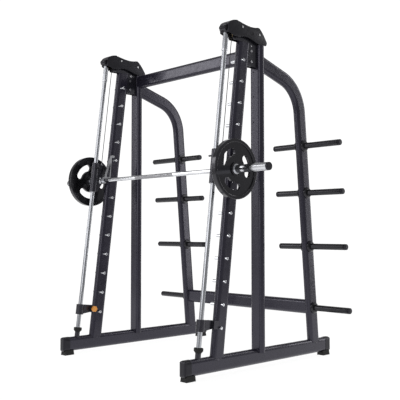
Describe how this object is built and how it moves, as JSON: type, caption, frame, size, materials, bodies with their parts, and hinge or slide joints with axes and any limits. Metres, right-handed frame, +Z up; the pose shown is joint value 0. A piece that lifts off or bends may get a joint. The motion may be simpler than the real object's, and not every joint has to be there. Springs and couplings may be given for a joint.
{
  "type": "smith machine",
  "caption": "Smith machine: a counterbalanced bar on leaning guide rods between two peg-post side frames, with weight plates and plate storage.",
  "frame": {"origin": "centre of the bounding box on the floor", "axes": "+X across the machine to the right side frame, +Y from the front with the guide rods to the back with the plate storage, +Z up"},
  "size_m": [2.07, 1.424, 2.224],
  "materials": {
    "frame_paint": "satin charcoal powder coat",
    "dark_steel": "satin black paint",
    "chrome": "bright polished",
    "steel": "plain zinc plated",
    "black_plastic": "satin moulded",
    "rubber": "matte",
    "plate_enamel": "glossy black enamel",
    "pulley_plastic": "moulded nylon",
    "cable_jacket": "smooth black jacket over steel",
    "orange_plastic": "glossy moulded"
  },
  "bodies": {
    "frame": {"base_beam_left": "frame_paint", "base_beam_right": "frame_paint", "base_end_caps": "black_plastic", "base_feet": "rubber", "front_post_left": "frame_paint", "front_post_right": "frame_paint", "post_pegs_left": "chrome", "post_pegs_right": "chrome", "upright_left": "frame_paint", "upright_right": "frame_paint", "rear_upright_left": "frame_paint", "rear_upright_right": "frame_paint", "top_crossbeam": "frame_paint", "rear_crossbeam": "frame_paint", "head_bracket_left": "dark_steel", "head_bracket_right": "dark_steel", "bracket_bolts": "steel", "guide_rod_left": "chrome", "guide_rod_right": "chrome", "rod_foot_bosses": "dark_steel", "rod_bumpers": "rubber", "rod_top_sleeves": "chrome", "sleeve_rings": "chrome", "rod_top_blocks": "black_plastic", "nose_caps": "black_plastic", "top_cover_left": "black_plastic", "top_cover_right": "black_plastic", "cover_screws": "chrome", "storage_pegs": "dark_steel", "storage_flanges": "dark_steel", "storage_peg_caps": "black_plastic", "pulley_axles": "steel", "cable_left": "cable_jacket", "cable_right": "cable_jacket"},
    "carriages": {"carriage_left": "dark_steel", "carriage_right": "dark_steel", "carriage_bearings": "steel", "carriage_pins": "dark_steel", "cable_anchors": "steel"},
    "bar": {"lift_bar": "chrome", "bar_collars": "chrome", "hook_left": "chrome", "hook_right": "chrome", "sleeve_left": "chrome", "sleeve_right": "chrome", "sleeve_end_caps": "black_plastic"},
    "plate_left": {"plate_left": "plate_enamel"},
    "plate_right": {"plate_right": "plate_enamel"},
    "stop_left": {"stop_left": "dark_steel"},
    "stop_right": {"stop_right": "dark_steel"},
    "knob_left": {"stop_knob_left": "orange_plastic"},
    "knob_right": {"stop_knob_right": "orange_plastic"},
    "front_pulley_left": {"front_pulley_left": "pulley_plastic"},
    "front_pulley_right": {"front_pulley_right": "pulley_plastic"},
    "rear_pulley_left": {"rear_pulley_left": "pulley_plastic"},
    "rear_pulley_right": {"rear_pulley_right": "pulley_plastic"},
    "counterweight_left": {"counterweight_left": "steel"},
    "counterweight_right": {"counterweight_right": "steel"}
  },
  "joints": [
    {"name": "bar_travel", "type": "slide", "parent": "frame", "child": "carriages", "axis": [0, 0.1219, 0.9925], "range_m": [-0.566, 0.566], "deforming": ["cable_left", "cable_right"]},
    {"name": "bar_turn", "type": "hinge", "parent": "carriages", "child": "bar", "pos_m": [0, -0.39055, 1.25948], "axis": [1, 0, 0], "range_deg": [-5.4, 32]},
    {"name": "plate_left_slide", "type": "slide", "parent": "bar", "child": "plate_left", "axis": [-1, 0, 0], "range_m": [0, 0.24]},
    {"name": "stop_left_height", "type": "slide", "parent": "frame", "child": "stop_left", "axis": [0, 0.1219, 0.9925], "range_m": [-0.085, 0.25]},
    {"name": "knob_left_turn", "type": "hinge", "parent": "stop_left", "child": "knob_left", "pos_m": [-0.632, -0.46374, 0.31386], "axis": [1, 0, 0], "continuous": true},
    {"name": "counterweight_left_travel", "type": "slide", "parent": "frame", "child": "counterweight_left", "axis": [0, 0, 1], "range_m": [-0.567, 0.567]},
    {"name": "front_pulley_left_turn", "type": "hinge", "parent": "frame", "child": "front_pulley_left", "pos_m": [-0.632, -0.24671, 2.152], "axis": [1, 0, 0], "range_deg": [-955.8, 955.8]},
    {"name": "rear_pulley_left_turn", "type": "hinge", "parent": "frame", "child": "rear_pulley_left", "pos_m": [-0.632, -0.074, 2.152], "axis": [1, 0, 0], "range_deg": [-955.8, 955.8]},
    {"name": "plate_right_slide", "type": "slide", "parent": "bar", "child": "plate_right", "axis": [1, 0, 0], "range_m": [0, 0.24]},
    {"name": "stop_right_height", "type": "slide", "parent": "frame", "child": "stop_right", "axis": [0, 0.1219, 0.9925], "range_m": [-0.085, 0.25]},
    {"name": "knob_right_turn", "type": "hinge", "parent": "stop_right", "child": "knob_right", "pos_m": [0.632, -0.46374, 0.31386], "axis": [1, 0, 0], "continuous": true},
    {"name": "counterweight_right_travel", "type": "slide", "parent": "frame", "child": "counterweight_right", "axis": [0, 0, 1], "range_m": [-0.567, 0.567]},
    {"name": "front_pulley_right_turn", "type": "hinge", "parent": "frame", "child": "front_pulley_right", "pos_m": [0.632, -0.24671, 2.152], "axis": [1, 0, 0], "range_deg": [-955.8, 955.8]},
    {"name": "rear_pulley_right_turn", "type": "hinge", "parent": "frame", "child": "rear_pulley_right", "pos_m": [0.632, -0.074, 2.152], "axis": [1, 0, 0], "range_deg": [-955.8, 955.8]}
  ],
  "couplings": [
    {"joint": "counterweight_left_travel", "follows": "bar_travel", "ratio": -1},
    {"joint": "front_pulley_left_turn", "follows": "bar_travel", "rad_per_m": -29.412},
    {"joint": "rear_pulley_left_turn", "follows": "bar_travel", "rad_per_m": -29.412},
    {"joint": "counterweight_right_travel", "follows": "bar_travel", "ratio": -1},
    {"joint": "front_pulley_right_turn", "follows": "bar_travel", "rad_per_m": -29.412},
    {"joint": "rear_pulley_right_turn", "follows": "bar_travel", "rad_per_m": -29.412}
  ]
}
